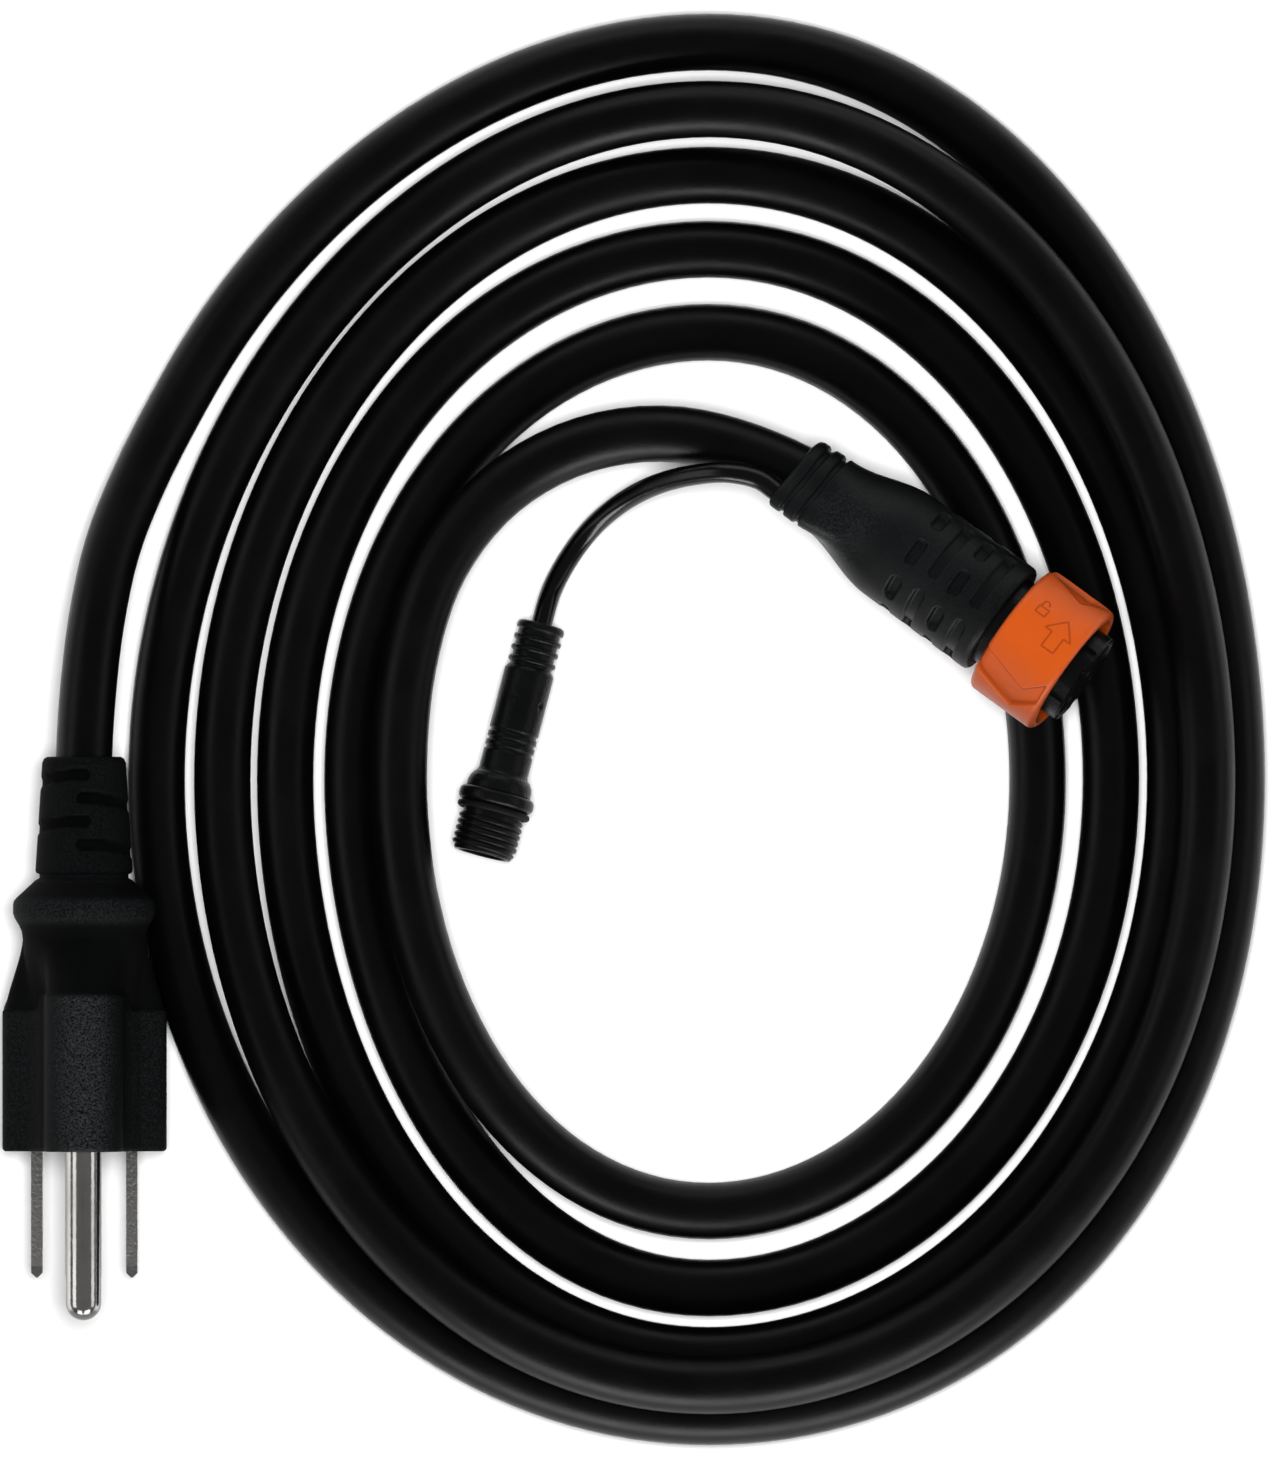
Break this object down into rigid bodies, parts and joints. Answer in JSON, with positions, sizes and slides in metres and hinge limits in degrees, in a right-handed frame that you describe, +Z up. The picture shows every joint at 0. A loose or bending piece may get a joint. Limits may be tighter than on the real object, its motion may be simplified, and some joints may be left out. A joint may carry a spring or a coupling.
{
  "type": "extension cord",
  "caption": "Coiled black power cord with a grounded mains plug, a twist-lock round connector with an orange ring, and a thin signal lead with a small threaded connector.",
  "frame": {"origin": "bottom centre of the coil and plug as they lie on the ground", "axes": "+Z up, +Y along the longest side, away from the plug's prongs, +X from the plug to the coil"},
  "size_m": [0.1684, 0.1903, 0.0277],
  "materials": {
    "cord_jacket": "satin",
    "moulded_black": "satin",
    "housing_black": "satin",
    "lock_orange": "satin",
    "plated_metal": "satin",
    "contact_brass": "satin",
    "seal_rubber": "matte",
    "bridge_plastic": "matte",
    "wire_black": "satin",
    "wire_white": "satin",
    "wire_green": "satin",
    "wire_violet": "satin",
    "wire_grey": "satin"
  },
  "bodies": {
    "cord_set": {"plug_body": "moulded_black", "blade_bridge": "bridge_plastic", "line_blade": "plated_metal", "neutral_blade": "plated_metal", "ground_pin": "plated_metal", "plug_line_wire": "wire_black", "plug_neutral_wire": "wire_white", "plug_ground_wire": "wire_green", "plug_lead": "cord_jacket", "cord_coil": "cord_jacket", "connector_tail": "cord_jacket", "connector_grip": "moulded_black", "contact_housing": "housing_black", "face_seal": "seal_rubber", "line_socket": "contact_brass", "neutral_socket": "contact_brass", "ground_socket": "contact_brass", "signal_plus_socket": "contact_brass", "signal_minus_socket": "contact_brass", "line_wire": "wire_black", "neutral_wire": "wire_white", "ground_wire": "wire_green", "signal_plus_wire": "wire_violet", "signal_minus_wire": "wire_grey", "signal_lead": "cord_jacket", "signal_grip": "moulded_black", "signal_shell": "housing_black", "signal_insert": "housing_black", "signal_o_ring": "seal_rubber", "small_plus_socket": "contact_brass", "small_minus_socket": "contact_brass", "small_plus_wire": "wire_violet", "small_minus_wire": "wire_grey"},
    "lock_ring": {"lock_ring": "lock_orange"}
  },
  "joints": [
    {"name": "lock_ring_turn", "type": "hinge", "parent": "cord_set", "child": "lock_ring", "pos_m": [0.05124, 0.01325, 0.01708], "axis": [-0.8011, 0.5821, -0.1392], "range_deg": [0, 45]}
  ]
}
